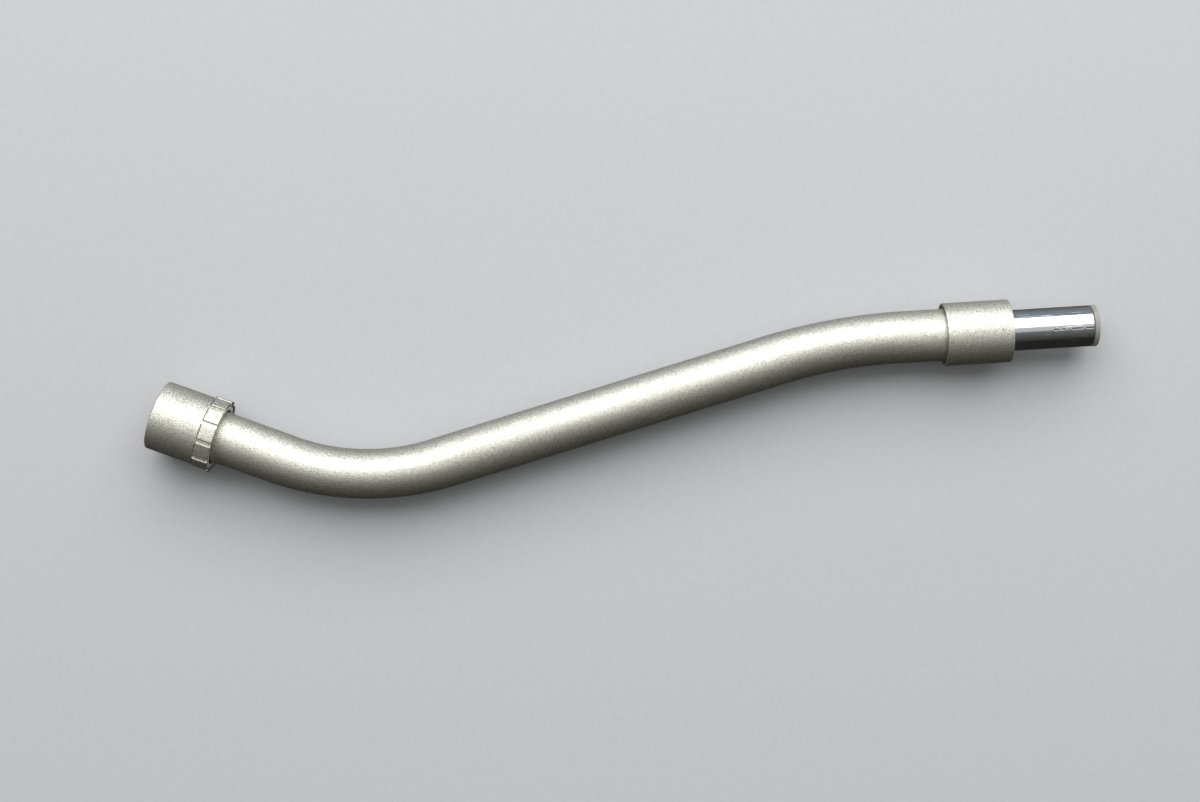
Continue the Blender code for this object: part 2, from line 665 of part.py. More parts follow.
def make_ground_wire(finish, axis):
    """A short lead from the tag to the plug's middle contact, rising to the axis ahead of the plug."""
    start = GROUND_TAG_AT.z + GROUND_TAG_SIZE[2] / 2 + PIN_GAP
    end = REAR_TAIL_END - PIN_GAP
    points = []
    for step in range(GROUND_WIRE_STEPS + 1):
        share = step / GROUND_WIRE_STEPS
        rise = min(1, GROUND_WIRE_RISE * share * share * (3 - 2 * share))
        points.append((GROUND_TAG_AT.x * (1 - rise), 0, start + (end - start) * share))
    wire = new_part("ground_wire", wire_curve("ground_wire", points, WIRE_R), finish)
    return place(wire, axis)


# ---- assembly -------------------------------------------------------------------------------

def main():
    satin = material("satin_silver", (0.62, 0.6, 0.55), 0.38, 1.0)
    polished = material("polished_chrome", (0.75, 0.76, 0.78), 0.08, 1.0)
    brass = material("brass", (0.78, 0.6, 0.3), 0.3, 1.0)
    gold = material("gold_plate", (0.9, 0.68, 0.3), 0.2, 1.0)
    steel = material("spring_steel", (0.55, 0.55, 0.56), 0.35, 1.0)
    white = material("insulator_white", (0.82, 0.8, 0.72), 0.45, 0.0)
    nylon = material("washer_nylon", (0.78, 0.78, 0.74), 0.5, 0.0)
    black = material("insulator_black", (0.03, 0.03, 0.03), 0.5, 0.0)

    socket_axis = axis_empty("socket_axis", MOUTH, SOCKET_DIRECTION)
    plug_axis = axis_empty("plug_axis", SHOULDER, PLUG_DIRECTION)

    make_arm_tube(satin)
    make_socket_body(polished, socket_axis)
    make_locking_sleeve(satin, socket_axis)
    make_wave_washer(steel, socket_axis)
    make_retaining_ring(steel, socket_axis)
    make_dust_washer(nylon, socket_axis)
    make_front_insulator(black, socket_axis)
    for index in range(CONTACT_COUNT):
        make_contact_barrel(index, brass, socket_axis)
        make_contact_pin(index, gold, socket_axis)
        make_contact_spring(index, steel, socket_axis)

    make_rear_collar(satin, plug_axis)
    make_collar_screw(steel, plug_axis)
    make_plug_sleeve(polished, plug_axis)
    make_key_pin(steel, plug_axis)
    make_rear_insulator(white, plug_axis)
    for number, spot in enumerate(rear_contact_spots(), 1):
        make_rear_contact(number, spot, gold, plug_axis)
    make_ground_tag(brass, plug_axis)

    wires = {"red": (0.6, 0.04, 0.03), "white": (0.85, 0.85, 0.82),
             "green": (0.03, 0.35, 0.08), "blue": (0.04, 0.12, 0.5)}
    for index, (colour, value) in enumerate(wires.items()):
        make_signal_wire(f"signal_wire_{colour}", index, material(f"wire_{colour}", value, 0.5, 0.0))
    make_ground_wire(material("wire_black", (0.02, 0.02, 0.02), 0.5, 0.0), plug_axis)


clear_scene()
PARTS = collection("tonearm_tube")
CUTTERS = collection("cutters")
main()
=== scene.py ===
"""Looks of a detachable S-shaped tonearm tube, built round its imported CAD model.

Every visible piece is turned, swept or cut again at a fine pitch in the place that the frame gives,
and rides on its CAD body. Lengths are metres unless a name multiplies them by MM.
"""

import json
import math

import bmesh
import bpy
import numpy as np
from mathutils import Matrix, Vector


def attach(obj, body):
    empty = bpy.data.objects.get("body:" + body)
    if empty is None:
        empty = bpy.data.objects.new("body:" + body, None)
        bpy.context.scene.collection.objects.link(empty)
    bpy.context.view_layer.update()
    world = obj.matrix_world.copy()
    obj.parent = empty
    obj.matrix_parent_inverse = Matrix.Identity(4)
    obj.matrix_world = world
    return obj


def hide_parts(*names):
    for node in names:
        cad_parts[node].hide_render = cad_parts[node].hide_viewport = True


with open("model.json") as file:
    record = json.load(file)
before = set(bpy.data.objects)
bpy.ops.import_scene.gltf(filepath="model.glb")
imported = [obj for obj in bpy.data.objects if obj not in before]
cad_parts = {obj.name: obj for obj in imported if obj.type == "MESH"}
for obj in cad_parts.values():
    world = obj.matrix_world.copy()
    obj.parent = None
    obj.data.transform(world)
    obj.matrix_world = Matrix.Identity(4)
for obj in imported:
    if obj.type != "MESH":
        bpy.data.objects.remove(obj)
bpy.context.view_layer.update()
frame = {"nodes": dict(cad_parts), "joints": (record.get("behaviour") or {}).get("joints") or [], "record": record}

MM = 0.001
UP = Vector((0, 0, 1))
RECORD = frame["record"]
MOUNTS = {mount["name"]: mount for mount in RECORD["mounts"]}
JOINTS = {joint["name"]: joint for joint in frame["joints"]}

# ---- places, all from the frame ---------------------------------------------------------------
MOUTH = Vector(JOINTS["sleeve_turn"]["pos_m"])
SOCKET_DIRECTION = Vector(JOINTS["sleeve_turn"]["axis"])
PLUG_DIRECTION = Vector(MOUNTS["plug_shoulder"]["axis"]).normalized()
SHOULDER = Vector((*MOUNTS["plug_shoulder"]["pos_m"][:2], MOUTH.z))

# ---- the tube's course, as in the CAD ---------------------------------------------------------
FRONT_APEX_TO_MOUTH = 39.6 * MM  # apex: where the straight runs' centrelines would meet
SHOULDER_TO_REAR_APEX = 31.8 * MM
FRONT_APEX = MOUTH + SOCKET_DIRECTION * FRONT_APEX_TO_MOUTH
REAR_APEX = SHOULDER - PLUG_DIRECTION * SHOULDER_TO_REAR_APEX
MIDDLE_DIRECTION = (REAR_APEX - FRONT_APEX).normalized()
FRONT_BEND_R = 46.3 * MM
REAR_BEND_R = 96.0 * MM
TUBE_R = 4.75 * MM
TUBE_BORE_R = 4.2 * MM
TUBE_START = 11.5 * MM          # from the mouth
TUBE_STOP = 4.0 * MM            # from the shoulder
TUBE_EDGE = 0.12 * MM
TUBE_STATIONS = 1.2 * MM        # spacing along the tube
FRONT_FLATTENING = 0.042        # how much narrower than round the tube is in its tighter bend
REAR_FLATTENING = 0.012
FLATTENING_SPREAD = 0.7         # below 1 the flattening reaches nearer to the bend's ends
UPRIGHT_SHARE = 0.4             # how much of the flattening comes back as height

ROUND = 192                     # steps round a large turned piece
SMALL_ROUND = 48                # steps round a contact or a pin
CREASE = math.radians(32)       # edges sharper than this stay sharp
CORNER_STEPS = 4                # of a turned outline's rounded corner
NEARLY_STRAIGHT = math.radians(88)
LONGEST_REACH = 0.45            # share of a side that one corner's rounding may take
ON_AXIS = 1e-9
CUT_OVER = 1.0 * MM             # how far a cutter runs past the wall it cuts


def left_of(direction):
    return Vector((-direction.y, direction.x, 0))


def axis_matrix(place, direction):
    """Local +Z along direction and local +X straight up."""
    rotation = Matrix((UP, direction.cross(UP), direction)).transposed()
    return Matrix.Translation(place) @ rotation.to_4x4()


SOCKET = axis_matrix(MOUTH, SOCKET_DIRECTION)
PLUG = axis_matrix(SHOULDER, PLUG_DIRECTION)


# ---- mesh helpers -----------------------------------------------------------------------------

def new_object(name, mesh, matrix=None):
    obj = bpy.data.objects.new(name, mesh)
    bpy.context.scene.collection.objects.link(obj)
    if matrix is not None:
        obj.matrix_world = matrix
    return obj


def smooth(obj, angle=CREASE):
    obj.data.shade_smooth()
    obj.data.set_sharp_from_angle(angle=angle)


def mesh_from(name, verts, faces):
    mesh = bpy.data.meshes.new(name)
    mesh.from_pydata([tuple(v) for v in verts], [], faces)
    bm = bmesh.new()
    bm.from_mesh(mesh)
    bmesh.ops.recalc_face_normals(bm, faces=bm.faces)
    bm.to_mesh(mesh)
    bm.free()
    return mesh


def grid_faces(rows, columns, wrap_rows=True):
    """Quads of a grid whose columns always wrap round, and whose rows may too."""
    faces = []
    for i in range(rows if wrap_rows else rows - 1):
        a, b = i * columns, ((i + 1) % rows) * columns
        for j in range(columns):
            k = (j + 1) % columns
            faces.append((a + j, a + k, b + k, b + j))
    return faces


def rounded(outline, radius, closed=True):
    """A (radius, z) outline with each corner turned into a small arc, never longer than its sides allow."""
    points = []
    count = len(outline)
    for i, corner in enumerate(outline):
        if not closed and i in (0, count - 1):
            points.append(corner)
            continue
        here = Vector(corner)
        before = Vector(outline[i - 1]) - here
        after = Vector(outline[(i + 1) % count]) - here
        half_angle = before.angle(after) / 2
        if half_angle > NEARLY_STRAIGHT:
            points.append(corner)
            continue
        longest = LONGEST_REACH * min(before.length, after.length)
        reach = min(radius / math.tan(half_angle), longest)
        start = here + before.normalized() * reach
        end = here + after.normalized() * reach
        for k in range(CORNER_STEPS + 1):
            t = k / CORNER_STEPS
            point = start * (1 - t) ** 2 + here * 2 * t * (1 - t) + end * t ** 2
            points.append(tuple(point))
    return points


def is_solid(outline):
    """True where a (radius, z) outline starts and ends on the axis."""
    return abs(outline[0][0]) < ON_AXIS and abs(outline[-1][0]) < ON_AXIS


def turned_mesh(name, outline, steps=ROUND):
    """A solid of revolution about local Z. An outline that starts and ends on the axis is closed there."""
    solid = is_solid(outline)
    inner = outline[1:-1] if solid else outline
    verts = []
    for r, z in inner:
        for k in range(steps):
            angle = 2 * math.pi * k / steps
            verts.append((r * math.cos(angle), r * math.sin(angle), z))
    faces = grid_faces(len(inner), steps, wrap_rows=not solid)
    if solid:
        for pole, row in ((outline[0], 0), (outline[-1], len(inner) - 1)):
            verts.append((0, 0, pole[1]))
            for k in range(steps):
                faces.append((row * steps + k, row * steps + (k + 1) % steps, len(verts) - 1))
    return mesh_from(name, verts, faces)


def turned(name, outline, matrix, steps=ROUND, fillet=0.05 * MM, at=(0, 0, 0)):
    shape = rounded(outline, fillet, closed=not is_solid(outline)) if fillet else outline
    obj = new_object(name, turned_mesh(name, shape, steps), matrix @ Matrix.Translation(at))
    smooth(obj)
    return obj


def cut_with(obj, cutters):
    """Takes meshes, given in obj's own frame, out of obj, and leaves it a plain mesh."""
    for number, mesh in enumerate(cutters):
        cutter = new_object(f"{obj.name}_cutter_{number}", mesh, obj.matrix_world.copy())
        modifier = obj.modifiers.new("cut", "BOOLEAN")
        modifier.operation = "DIFFERENCE"
        modifier.solver = "EXACT"
        modifier.object = cutter
    bpy.context.view_layer.update()
    graph = bpy.context.evaluated_depsgraph_get()
    mesh = bpy.data.meshes.new_from_object(obj.evaluated_get(graph))
    cutters_made = [m.object for m in obj.modifiers]
    obj.modifiers.clear()
    obj.data = mesh
    for cutter in cutters_made:
        bpy.data.objects.remove(cutter)
    smooth(obj)


def rod_mesh(radius, low, high, matrix=None, steps=SMALL_ROUND):
    bm = bmesh.new()
    bmesh.ops.create_cone(bm, cap_ends=True, segments=steps, radius1=radius, radius2=radius,
                          depth=high - low,
                          matrix=(matrix or Matrix()) @ Matrix.Translation((0, 0, (low + high) / 2)))
    mesh = bpy.data.meshes.new("rod")
    bm.to_mesh(mesh)
    bm.free()
    return mesh


def box_mesh(low, high):
    low, high = Vector(low), Vector(high)
    bm = bmesh.new()
    bmesh.ops.create_cube(bm, size=1, matrix=Matrix.Translation((low + high) / 2)
                          @ Matrix.Diagonal((*(high - low), 1)))
    mesh = bpy.data.meshes.new("box")
    bm.to_mesh(mesh)
    bm.free()
    return mesh


def finish_piece(obj, material, body, slot, *nodes):
    """Dresses a piece, ties it to its body and hides the CAD nodes it stands for."""
    obj.data.materials.clear()
    obj.data.materials.append(material)
    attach(obj, body)
    if nodes:
        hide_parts(*nodes)


# ---- materials --------------------------------------------------------------------------------

GRAIN = 0.22 * MM               # size of the dimples in the blasted metal
GRAIN_DEPTH = 0.24              # how far a dimple's walls turn the light, over one dimple
GRAIN_LEAN = 0.08               # how far a whole dimple leans
TONE_PATCHES = 14 * MM          # size of the blasted metal's slow changes of tone
SCRATCH_SIDE = 0.38 * MM        # a broken scratch along the plug, beside its top line
SCRATCH_LIP = 0.20 * MM         # from the scratch's floor, where shade is painted dark into the groove, to its raised, dull lip
SCRATCH_WIDTH = 0.30 * MM
SCRATCH_START = 7.5 * MM


class Nodes:
    """Short names for building one material's node tree."""

    def __init__(self, name):
        self.material = bpy.data.materials.new(name)
        self.material.use_nodes = True
        self.tree = self.material.node_tree
        self.shader = self.tree.nodes["Principled BSDF"]
        self.coordinates = self.tree.nodes.new("ShaderNodeTexCoord").outputs["Object"]

    def add(self, kind, **inputs):
        node = self.tree.nodes.new(kind)
        for key, value in inputs.items():
            self.feed(node.inputs[key.replace("_", " ")], value)
        return node

    def feed(self, socket, value):
        if isinstance(value, bpy.types.NodeSocket):
            self.tree.links.new(value, socket)
        else:
            socket.default_value = value

    def stretched(self, scale):
        node = self.add("ShaderNodeMapping", Vector=self.coordinates)
        node.inputs["Scale"].default_value = scale
        return node.outputs["Vector"]

    def noise(self, scale, detail=2.0, roughness=0.5, vector=None):
        node = self.add("ShaderNodeTexNoise", Vector=vector or self.coordinates,
                        Scale=scale, Detail=detail, Roughness=roughness)
        return node.outputs["Fac"]

    def ramp(self, value, low, high, start=0.3, end=0.7):
        """low up to start, high from end on, and a straight line between."""
        node = self.add("ShaderNodeMapRange", Value=value)
        node.inputs["From Min"].default_value = start
        node.inputs["From Max"].default_value = end
        node.inputs["To Min"].default_value = low
        node.inputs["To Max"].default_value = high
        return node.outputs["Result"]

    def colours(self, value, *stops):
        node = self.tree.nodes.new("ShaderNodeValToRGB")
        elements = node.color_ramp.elements
        while len(elements) < len(stops):
            elements.new(0.5)
        for element, (place, colour) in zip(elements, stops):
            element.position = place
            element.color = (*colour, 1)
        self.feed(node.inputs["Fac"], value)
        return node.outputs["Color"]

    def math(self, operation, *values):
        node = self.tree.nodes.new("ShaderNodeMath")
        node.operation = operation
        for socket, value in zip(node.inputs, values):
            self.feed(socket, value)
        return node.outputs["Value"]

    def vector(self, operation, *values):
        node = self.tree.nodes.new("ShaderNodeVectorMath")
        node.operation = operation
        slots = [s for s in node.inputs if s.enabled]
        for socket, value in zip(slots, values):
            self.feed(socket, value)
        return node.outputs["Vector"]

    def bump(self, height, distance, strength, normal=None):
        node = self.add("ShaderNodeBump", Height=height, Distance=distance, Strength=strength)
        if normal is not None:
            self.feed(node.inputs["Normal"], normal)
        return node.outputs["Normal"]

    def set(self, **values):
        for key, value in values.items():
            self.feed(self.shader.inputs[key.replace("_", " ")], value)


def satin_silver():
    """Bead-blasted, warm silver metal: fine dimples that sparkle over very slow changes of tone."""
    n = Nodes("satin_silver")
    pits = n.add("ShaderNodeTexVoronoi", Vector=n.coordinates, Scale=1 / GRAIN)
    slope = n.vector("SUBTRACT", pits.outputs["Position"], n.coordinates)
    slope = n.vector("MULTIPLY", slope, (GRAIN_DEPTH / GRAIN,) * 3)
    lean = n.vector("MULTIPLY", n.vector("SUBTRACT", pits.outputs["Color"], (0.5,) * 3), (GRAIN_LEAN,) * 3)
    surface = n.tree.nodes.new("ShaderNodeNewGeometry").outputs["Normal"]
    normal = n.vector("NORMALIZE", n.vector("ADD", surface, n.vector("ADD", slope, lean)))
    slow = n.noise(1 / TONE_PATCHES, detail=2, roughness=0.5)
    deep = n.math("MULTIPLY", pits.outputs["Distance"], 0.6)
    shade = n.math("ADD", n.math("MULTIPLY", pits.outputs["Color"], 0.5), n.math("MULTIPLY", slow, 0.1))
    shade = n.math("ADD", deep, shade)
    n.set(Base_Color=n.colours(shade, (0.3, (0.77, 0.75, 0.65)), (0.57, (0.62, 0.603, 0.525)),
                               (0.85, (0.46, 0.447, 0.388))),
          Metallic=1.0, Roughness=n.ramp(slow, 0.55, 0.58), Normal=normal)
    return n.material


def polished_chrome():
    """Polished plating with faint turning marks, short scratches along its axis and one broken long one. The long
    scratch is real, but its dark floor is painted shade in the base colour.
    """
    n = Nodes("polished_chrome")
    turning = n.noise(1.0, detail=4, vector=n.stretched((40, 40, 9000)))
    streaks = n.noise(1.0, detail=2, roughness=0.6, vector=n.stretched((5200, 5200, 180)))
    scratches = n.ramp(streaks, 0.0, 1.0, 0.63, 0.72)
    clouds = n.noise(1 / (2.5 * MM), detail=4, roughness=0.65)
    place = n.add("ShaderNodeSeparateXYZ", Vector=n.coordinates).outputs
    on_top = n.math("MULTIPLY", n.math("GREATER_THAN", place["X"], 0.0),
                    n.math("GREATER_THAN", place["Z"], SCRATCH_START))
    dashes = n.ramp(n.noise(1.0, detail=2, vector=n.stretched((300, 300, 900))), 0.0, 1.0, 0.44, 0.48)
    on_line = n.math("MULTIPLY", on_top, dashes)

    def stripe(side):
        off = n.math("ABSOLUTE", n.math("SUBTRACT", place["Y"], side))
        return n.math("MULTIPLY", on_line, n.ramp(off, 1.0, 0.0, SCRATCH_WIDTH / 4, SCRATCH_WIDTH / 2))

    # floor marks the scratch's groove, where shade is painted into the base colour; lip only dulls the plating
    floor, lip = stripe(SCRATCH_SIDE), stripe(SCRATCH_SIDE + SCRATCH_LIP)
    plating = n.colours(clouds, (0.3, (0.60, 0.61, 0.62)), (0.7, (0.66, 0.67, 0.675)))
    # painted shade: the base colour falls to 0.12 along the scratch's floor, so the groove shows as a dark line
    shade = n.colours(floor, (0.0, (1, 1, 1)), (1.0, (0.12, 0.12, 0.12)))
    dull = n.math("ADD", n.math("MULTIPLY", scratches, 0.3), n.math("MULTIPLY", lip, 0.45))
    n.set(Base_Color=n.vector("MULTIPLY", plating, shade), Metallic=1.0,
          Roughness=n.math("ADD", n.ramp(clouds, 0.09, 0.14), dull),
          Normal=n.bump(scratches, 0.008 * MM, 0.8, n.bump(turning, 0.001 * MM, 0.4)))
    return n.material


def satin_plating():
    n = Nodes("socket_plating")
    turning = n.noise(1.0, detail=4, vector=n.stretched((60, 60, 12000)))
    clouds = n.noise(1 / (2 * MM), detail=4)
    n.set(Base_Color=n.colours(clouds, (0.3, (0.60, 0.595, 0.58)), (0.7, (0.72, 0.715, 0.70))),
          Metallic=1.0, Roughness=n.ramp(turning, 0.2, 0.34), Normal=n.bump(turning, 0.004 * MM, 0.5))
    return n.material


def metal(name, dark, light, low, high):
    """Turned or drawn metal with slight tarnish."""
    n = Nodes(name)
    tarnish = n.noise(1 / (0.5 * MM), detail=5, roughness=0.6)
    fine = n.noise(1 / (0.08 * MM), detail=2)
    n.set(Base_Color=n.colours(tarnish, (0.3, dark), (0.7, light)), Metallic=1.0,
          Roughness=n.ramp(tarnish, low, high), Normal=n.bump(fine, 0.004 * MM, 0.4))
    return n.material


def insulator_white():
    """Slightly yellowed, translucent moulded plastic."""
    n = Nodes("insulator_white")
    clouds = n.noise(1 / (1.3 * MM), detail=4, roughness=0.6)
    fine = n.noise(1 / (0.12 * MM), detail=3)
    n.set(Base_Color=n.colours(clouds, (0.3, (0.225, 0.223, 0.186)), (0.7, (0.30, 0.298, 0.255))),
          Roughness=n.ramp(fine, 0.35, 0.55), Normal=n.bump(fine, 0.01 * MM, 0.5))
    n.set(Subsurface_Weight=0.25, Subsurface_Scale=0.6 * MM, Subsurface_Radius=(1.0, 0.95, 0.8))
    return n.material


def plastic(name, dark, light):
    n = Nodes(name)
    clouds = n.noise(1 / (0.8 * MM), detail=4)
    fine = n.noise(1 / (0.1 * MM), detail=2)
    n.set(Base_Color=n.colours(clouds, (0.3, dark), (0.7, light)),
          Roughness=n.ramp(fine, 0.4, 0.55), Normal=n.bump(fine, 0.006 * MM, 0.4))
    return n.material


SATIN = satin_silver()
CHROME = polished_chrome()
PLATING = satin_plating()
STEEL = metal("spring_steel", (0.42, 0.42, 0.43), (0.60, 0.60, 0.61), 0.25, 0.4)
BRASS = metal("brass", (0.62, 0.44, 0.18), (0.80, 0.61, 0.30), 0.22, 0.38)
GOLD = metal("gold_plate", (0.80, 0.56, 0.20), (0.93, 0.70, 0.32), 0.12, 0.25)
WHITE = insulator_white()
BLACK = plastic("insulator_black", (0.018, 0.018, 0.019), (0.04, 0.04, 0.042))
NYLON = plastic("washer_nylon", (0.62, 0.62, 0.58), (0.74, 0.74, 0.70))
WIRE_COLOURS = {
    "red": ((0.45, 0.02, 0.015), (0.62, 0.04, 0.03)),
    "white": ((0.70, 0.69, 0.65), (0.84, 0.83, 0.80)),
    "green": ((0.015, 0.22, 0.05), (0.03, 0.34, 0.09)),
    "blue": ((0.02, 0.08, 0.34), (0.04, 0.13, 0.5)),
    "black": ((0.012, 0.012, 0.012), (0.03, 0.03, 0.03)),
}
SIGNAL_COLOURS = ("red", "white", "green", "blue")
WIRE_MATERIALS = {name: plastic(f"wire_{name}", *pair) for name, pair in WIRE_COLOURS.items()}


# ---- tube -------------------------------------------------------------------------------------

def bend_stations(apex, before, after, radius, flattening):
    """(point, direction, in-plane scale, upright scale) along the arc that rounds an apex."""
    turn = before.angle(after)
    side = 1 if before.cross(after).z > 0 else -1
    start = apex - before * radius * math.tan(turn / 2)
    centre = start + left_of(before) * radius * side
    steps = round(radius * turn / TUBE_STATIONS)
    stations = []
    for step in range(steps + 1):
        share = step / steps
        direction = Matrix.Rotation(side * turn * share, 3, "Z") @ before
        bulge = flattening * math.sin(math.pi * share) ** FLATTENING_SPREAD if 0 < share < 1 else 0.0
        stations.append((centre - left_of(direction) * radius * side, direction,
                         1 - bulge, 1 + UPRIGHT_SHARE * bulge))
    return stations


def straight_stations(start, end):
    length = (end - start).length
    direction = (end - start).normalized()
    steps = max(1, round(length / TUBE_STATIONS))
    return [(start + direction * length * k / steps, direction, 1, 1) for k in range(steps + 1)]


def tube_stations():
    front = bend_stations(FRONT_APEX, SOCKET_DIRECTION, MIDDLE_DIRECTION, FRONT_BEND_R, FRONT_FLATTENING)
    rear = bend_stations(REAR_APEX, MIDDLE_DIRECTION, PLUG_DIRECTION, REAR_BEND_R, REAR_FLATTENING)
    first = MOUTH + SOCKET_DIRECTION * TUBE_START
    last = SHOULDER - PLUG_DIRECTION * TUBE_STOP
    runs = straight_stations(first, front[0][0])[:-1] + front
    runs += straight_stations(front[-1][0], rear[0][0])[1:-1] + rear
    return runs + straight_stations(rear[-1][0], last)[1:]


def make_tube():
    """The tube with its bore, slightly oval in the bends, with eased ends."""
    stations = tube_stations()
    rows = []

    def row(station, radius, shift=0.0):
        point, direction, across, upright = station
        for k in range(ROUND):
            angle = 2 * math.pi * k / ROUND
            rows.append(point + direction * shift + left_of(direction) * radius * across * math.sin(angle)
                        + UP * radius * upright * math.cos(angle))

    row(stations[0], TUBE_R - TUBE_EDGE)
    row(stations[0], TUBE_R, TUBE_EDGE)
    for station in stations[1:-1]:
        row(station, TUBE_R)
    row(stations[-1], TUBE_R, -TUBE_EDGE)
    row(stations[-1], TUBE_R - TUBE_EDGE)
    for station in stations[::-1]:
        row(station, TUBE_BORE_R)
    count = len(rows) // ROUND
    tube = new_object("tube", mesh_from("tube", rows, grid_faces(count, ROUND)))
    smooth(tube)
    finish_piece(tube, SATIN, "arm", "satin_silver", "arm_tube")


# ---- locking sleeve ---------------------------------------------------------------------------

SLEEVE_R = 6.45 * MM
SLEEVE_LENGTH = 12.2 * MM
SLEEVE_BORE_R = 5.4 * MM
SLEEVE_LIP = (8.6 * MM, 9.2 * MM)
SLEEVE_LIP_R = 4.8 * MM
SLEEVE_LIP_EDGE = 0.1 * MM
SLEEVE_EDGE = 0.22 * MM         # rounding of the barrel's front edge
SLEEVE_EDGE_STEPS = 4
BARREL_ROWS = 10
BARREL_STOP = 0.2 * MM          # from the barrel's last row to the lands
# (z, widening of the bore) at the mouth, and the same for the recess, from the rear end
BORE_EDGE = ((0.12 * MM, 0.0), (0.03 * MM, 0.04 * MM), (0.0, 0.13 * MM))
RECESS_EDGE = ((0.0, 0.16 * MM), (0.02 * MM, 0.08 * MM), (0.1 * MM, 0.02 * MM), (0.2 * MM, 0.0))
RECESS_R = 6.1 * MM
GRIP_WIDTH = 2.85 * MM
GRIP_LANDS = 12
GRIP_FLAT = 6.82 * MM           # from the axis to the middle of a land
GRIP_FLATNESS = 0.8             # 1 would make the lands quite flat, 0 round
GRIP_FLOOR = 6.48 * MM
GRIP_GROOVE_WIDTH = 0.72 * MM
GRIP_TURN = math.radians(-2.2)  # of the ring of grooves, against the cam's entry
GRIP_WALL = 0.02 * MM           # run of a groove's wall, which is nearly square to its floor
GRIP_EASE = 0.14 * MM           # rounding where a land meets its groove
GRIP_EASE_STEPS = 4
GRIP_LAND_STEPS = 10
RELIEF_DEPTH = 0.11 * MM        # of the fine undercut in front of each land
RELIEF = (0.12 * MM, 0.01 * MM)         # its start and end, in front of the lands
RELIEF_LEAD = 0.01 * MM
# (distance behind the lands' front edge, or in front of their rear edge, and drop below the land)
LAND_FRONT = ((0.0, 0.30 * MM), (0.01 * MM, 0.12 * MM), (0.03 * MM, 0.05 * MM), (0.06 * MM, 0.02 * MM),
              (0.12 * MM, 0.0))
LAND_REAR = ((0.15 * MM, 0.0), (0.1 * MM, 0.015 * MM), (0.05 * MM, 0.05 * MM), (0.0, 0.13 * MM))

CAM_ENTRY_R = 6.0 * MM
CAM_TRACK_R = 5.95 * MM
CAM_WIDTH = 2.0 * MM
CAM_START = 3.2 * MM
CAM_PULL = 1.0 * MM
CAM_TURN = math.radians(78)
CAM_STEPS = 40
KEY_SLOT_WIDTH = 2.2 * MM


def grip_columns():
    """(angle, drop below the land) round the sleeve, with drop None on a groove's floor."""
    pitch = 2 * math.pi / GRIP_LANDS
    half = GRIP_GROOVE_WIDTH / 2 / GRIP_FLAT
    edge = []
    for k in range(GRIP_EASE_STEPS + 1):
        a = math.pi / 2 * k / GRIP_EASE_STEPS
        along = GRIP_WALL + GRIP_EASE * (1 - math.cos(a))
        edge.append((along / GRIP_FLAT, GRIP_EASE * (1 - math.sin(a))))
    columns = []
    for land in range(GRIP_LANDS):
        start = (land + 0.5) * pitch + GRIP_TURN
        floor = [(start + half * t, None) for t in (-1, -0.5, 0, 0.5, 1)]
        rise = [(start + half + a, drop) for a, drop in edge]
        fall = [(start + pitch - half - a, drop) for a, drop in edge[::-1]]
        first, last = rise[-1][0], fall[0][0]
        top = [(first + (last - first) * t / GRIP_LAND_STEPS, 0.0) for t in range(1, GRIP_LAND_STEPS)]
        columns += floor + rise + top + fall
    return columns


def grip_radius(angle, drop, row_drop, under):
    """Radius on the grip ring: the floor of a groove, or a flat land less its rounding."""
    floor = max(under, GRIP_FLOOR - max(0, row_drop))
    if drop is None:
        return floor
    if row_drop < 0:
        return under + row_drop
    pitch = 2 * math.pi / GRIP_LANDS
    off_middle = (angle - GRIP_TURN + pitch / 2) % pitch - pitch / 2
    land = GRIP_FLAT / math.cos(off_middle * GRIP_FLATNESS)
    return max(floor, land - drop - row_drop)


def sleeve_rows():
    """(z, radius, row drop) along the sleeve's outline; a row drop marks the rows of the grip ring.

    A negative one is the undercut in front of the lands.
    """
    start, end = SLEEVE_LENGTH - GRIP_WIDTH, SLEEVE_LENGTH
    rows = [(z, SLEEVE_BORE_R + widening, None) for z, widening in BORE_EDGE]
    rows.append((0, SLEEVE_R - SLEEVE_EDGE, None))
    for k in range(1, SLEEVE_EDGE_STEPS + 1):
        a = math.pi / 2 * k / SLEEVE_EDGE_STEPS
        rows.append((SLEEVE_EDGE * (1 - math.cos(a)), SLEEVE_R - SLEEVE_EDGE * (1 - math.sin(a)), None))
    barrel = np.linspace(SLEEVE_EDGE, start - BARREL_STOP, BARREL_ROWS)[1:]
    rows += [(z, SLEEVE_R, None) for z in barrel]
    rows += [(start - RELIEF[0] - RELIEF_LEAD, SLEEVE_R, 0.0), (start - RELIEF[0], SLEEVE_R, -RELIEF_DEPTH),
             (start - RELIEF[1], SLEEVE_R, -RELIEF_DEPTH)]
    rows += [(start + z, SLEEVE_R, drop) for z, drop in LAND_FRONT]
    rows += [(start + t * GRIP_WIDTH, SLEEVE_R, 0.0) for t in (0.25, 0.5, 0.75)]
    rows += [(end - z, RECESS_R, drop) for z, drop in LAND_REAR]
    rows += [(end - z, RECESS_R + widening, None) for z, widening in RECESS_EDGE]
    recess = np.linspace(end - RECESS_EDGE[-1][0], SLEEVE_LIP[1] + SLEEVE_LIP_EDGE, 5)[1:]
    rows += [(z, RECESS_R, None) for z in recess]
    rows += [(SLEEVE_LIP[1], RECESS_R - SLEEVE_LIP_EDGE, None),
             (SLEEVE_LIP[1], SLEEVE_LIP_R + SLEEVE_LIP_EDGE, None),
             (SLEEVE_LIP[1] - SLEEVE_LIP_EDGE, SLEEVE_LIP_R, None),
             (SLEEVE_LIP[0] + SLEEVE_LIP_EDGE, SLEEVE_LIP_R, None),
             (SLEEVE_LIP[0], SLEEVE_LIP_R + SLEEVE_LIP_EDGE, None), (SLEEVE_LIP[0], SLEEVE_BORE_R, None)]
    bore = np.linspace(SLEEVE_LIP[0], BORE_EDGE[0][0], 7)[1:-1]
    return rows + [(z, SLEEVE_BORE_R, None) for z in bore]


